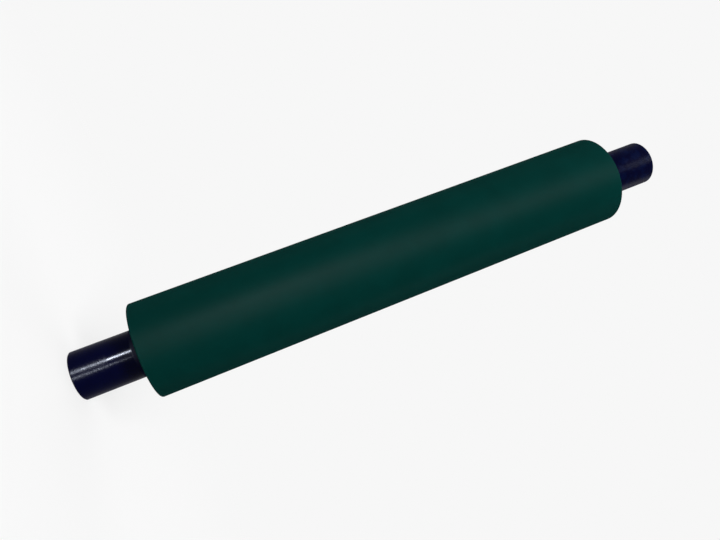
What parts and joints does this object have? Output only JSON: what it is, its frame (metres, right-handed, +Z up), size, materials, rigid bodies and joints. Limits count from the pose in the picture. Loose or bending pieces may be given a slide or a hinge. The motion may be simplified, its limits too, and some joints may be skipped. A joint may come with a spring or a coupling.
{
  "type": "ink form roller",
  "caption": "Rubber-covered ink form roller: a steel core with a plain journal at each end, bonded into a thick green rubber tube that carries ink onto a printing plate.",
  "frame": {"origin": "centre of the lower journal's end face, which the roller stands on", "axes": "+Z up the roller's axis, from the journal it stands on to the other one; X and Y are free, because the roller is round"},
  "size_m": [0.0508, 0.0508, 0.342],
  "materials": {
    "lacquered_steel": "gloss",
    "green_rubber": "matte"
  },
  "bodies": {
    "root": {"core": "lacquered_steel", "rubber_cover": "green_rubber"}
  },
  "joints": []
}
